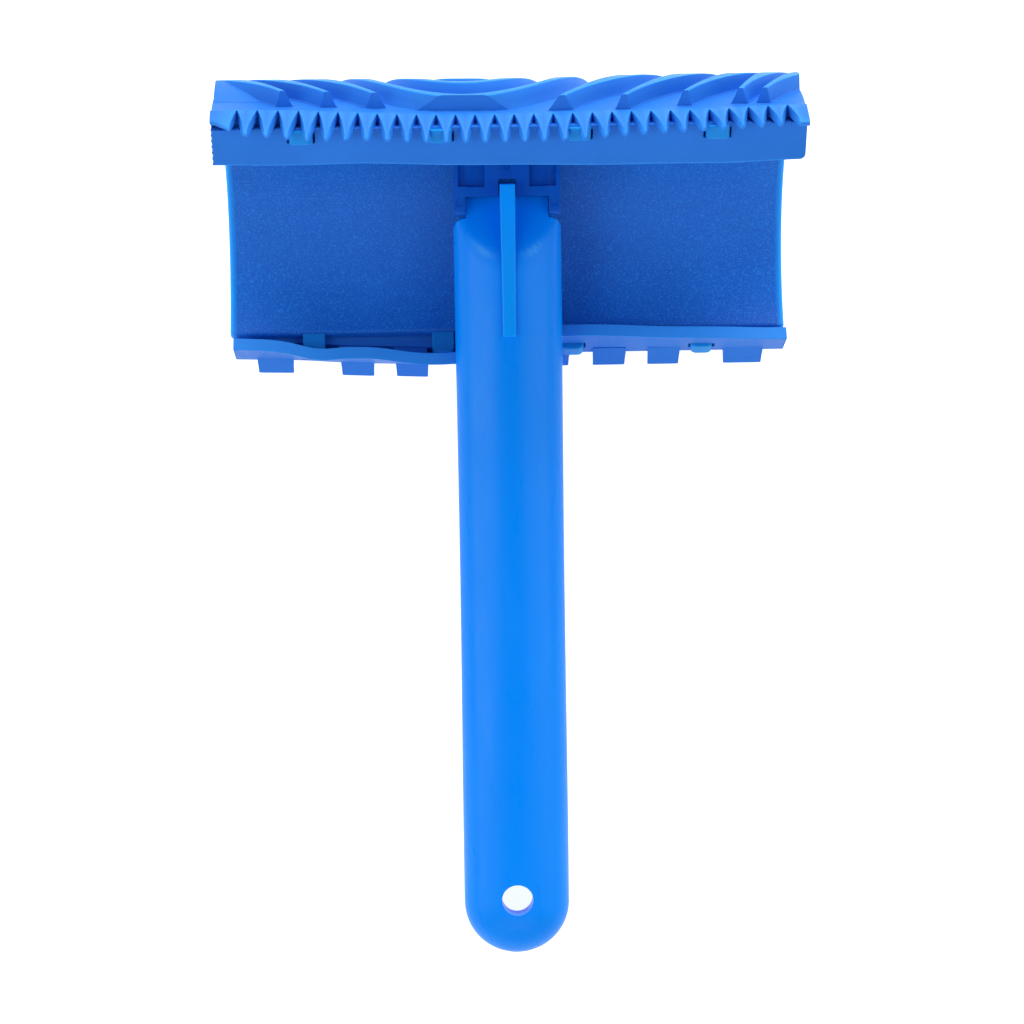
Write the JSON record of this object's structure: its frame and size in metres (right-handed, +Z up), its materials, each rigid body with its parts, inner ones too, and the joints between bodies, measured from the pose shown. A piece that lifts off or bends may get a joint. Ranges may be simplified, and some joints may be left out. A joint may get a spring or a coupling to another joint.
{
  "type": "wood graining tool",
  "caption": "Wood graining tool: a curved plastic head wrapped in a ridged rubber pad with a toothed comb edge, on a plug-in hollow handle.",
  "frame": {"origin": "bottom centre of the box around the whole tool, as it lies on the pad's ridges and the end of the handle", "axes": "+X across the head's width, +Y from the handle's round end towards the head, +Z up, away from the surface it lies on"},
  "size_m": [0.125, 0.195, 0.0687],
  "materials": {
    "carrier_plastic": "satin, finely frosted inside",
    "pad_rubber": "matt moulded rubber",
    "handle_plastic": "smooth gloss moulding"
  },
  "bodies": {
    "head": {"carrier_shell": "carrier_plastic", "handle_socket": "carrier_plastic", "upper_pad_hooks": "carrier_plastic", "lower_pad_hooks": "carrier_plastic", "graining_pad": "pad_rubber", "pad_upper_flange": "pad_rubber", "pad_lower_flange": "pad_rubber", "pad_comb": "pad_rubber"},
    "handle": {"handle_grip": "handle_plastic", "handle_hang_end": "handle_plastic", "handle_tongue": "handle_plastic", "handle_gusset": "handle_plastic"}
  },
  "joints": [
    {"name": "handle_plug", "type": "slide", "parent": "head", "child": "handle", "axis": [0, -0.9923, -0.1236], "range_m": [0, 0.02]}
  ]
}
